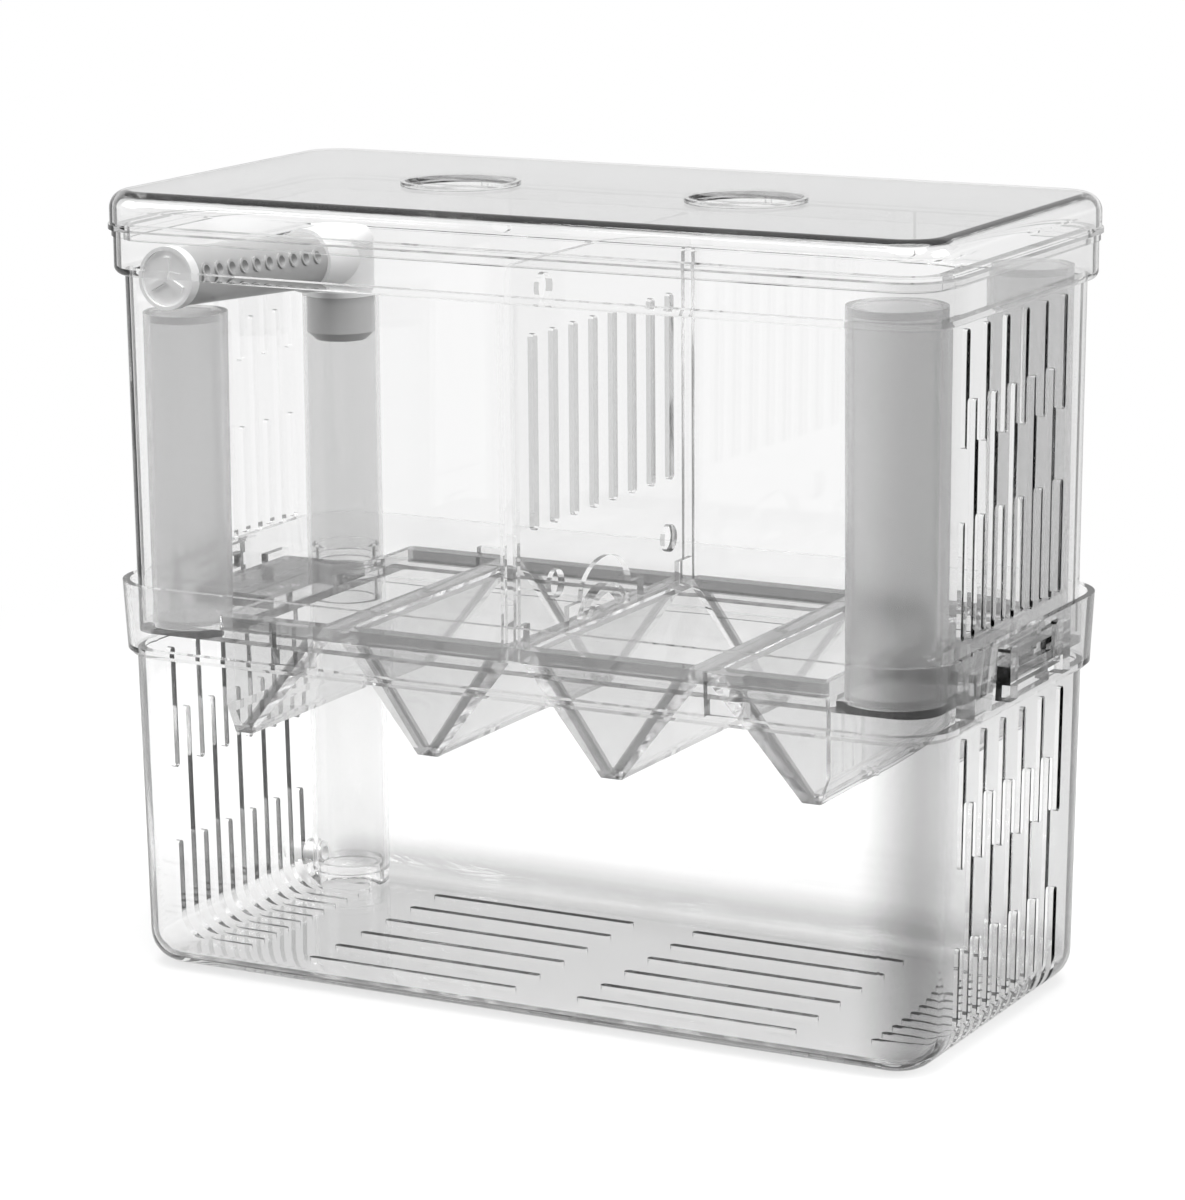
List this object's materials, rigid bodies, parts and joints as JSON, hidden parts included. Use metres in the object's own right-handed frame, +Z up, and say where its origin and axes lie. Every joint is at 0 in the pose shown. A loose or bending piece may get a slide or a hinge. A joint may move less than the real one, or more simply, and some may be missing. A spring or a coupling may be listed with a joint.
{
  "type": "fish breeding box",
  "caption": "Clear two-tier breeding box with slotted ends, V-trough tray, divider, lid with feeding ports, float tubes and an air-lift riser feeding a spray bar.",
  "frame": {"origin": "centre of the base, on the surface that the box rests on", "axes": "+X to the right along the length, -Y the front with the spray bar's free end, +Z up; the riser stands at the back left"},
  "size_m": [0.2056, 0.097, 0.1744],
  "materials": {
    "clear_plastic": "clear polished acrylic",
    "smoked_clear_plastic": "clear moulded plastic with a faint grey tint",
    "grey_plastic": "smoke grey moulded plastic, satin"
  },
  "bodies": {
    "lower_tier": {"lower_box": "clear_plastic", "riser_lower_tube": "smoked_clear_plastic"},
    "upper_tier": {"upper_box": "clear_plastic", "riser_coupling": "smoked_clear_plastic", "front_left_float_tube": "smoked_clear_plastic", "front_left_float_top_cap": "smoked_clear_plastic", "front_left_float_bottom_cap": "smoked_clear_plastic", "front_right_float_tube": "smoked_clear_plastic", "front_right_float_top_cap": "smoked_clear_plastic", "front_right_float_bottom_cap": "smoked_clear_plastic", "back_right_float_tube": "smoked_clear_plastic", "back_right_float_top_cap": "smoked_clear_plastic", "back_right_float_bottom_cap": "smoked_clear_plastic"},
    "lid": {"lid": "clear_plastic"},
    "divider": {"divider": "clear_plastic"},
    "v_tray": {"v_tray": "clear_plastic"},
    "riser_upper_tube": {"riser_upper_tube": "smoked_clear_plastic"},
    "riser_elbow": {"riser_elbow": "grey_plastic"},
    "spray_bar": {"spray_bar": "smoked_clear_plastic", "spray_bar_end_cap": "grey_plastic"},
    "air_nozzle": {"air_nozzle": "grey_plastic"}
  },
  "joints": [
    {"name": "upper_tier_lift", "type": "slide", "parent": "lower_tier", "child": "upper_tier", "axis": [0, 0, 1], "range_m": [0, 0.045]},
    {"name": "lid_lift", "type": "slide", "parent": "upper_tier", "child": "lid", "axis": [0, 0, 1], "range_m": [0, 0.18]},
    {"name": "divider_lift", "type": "slide", "parent": "upper_tier", "child": "divider", "axis": [0, 0, 1], "range_m": [0, 0.162]},
    {"name": "v_tray_lift", "type": "slide", "parent": "upper_tier", "child": "v_tray", "axis": [0, 0, 1], "range_m": [0, 0.117]},
    {"name": "riser_upper_tube_lift", "type": "slide", "parent": "upper_tier", "child": "riser_upper_tube", "axis": [0, 0, 1], "range_m": [0, 0.171]},
    {"name": "riser_elbow_swivel", "type": "hinge", "parent": "riser_upper_tube", "child": "riser_elbow", "pos_m": [-0.0846, 0.0314, 0.1421], "axis": [0, 0, 1], "range_deg": [0, 90]},
    {"name": "spray_bar_aim", "type": "hinge", "parent": "riser_elbow", "child": "spray_bar", "pos_m": [-0.0846, 0.0314, 0.1507], "axis": [0, -0.9981, 0.061], "range_deg": [-60, 60]},
    {"name": "air_nozzle_pull", "type": "slide", "parent": "lower_tier", "child": "air_nozzle", "axis": [-1, 0, 0], "range_m": [0, 0.012]}
  ],
  "couplings": [
    {"joint": "divider_lift", "follows": "lid_lift", "ratio": 0.9},
    {"joint": "v_tray_lift", "follows": "lid_lift", "ratio": 0.65},
    {"joint": "riser_upper_tube_lift", "follows": "lid_lift", "ratio": 0.95}
  ]
}
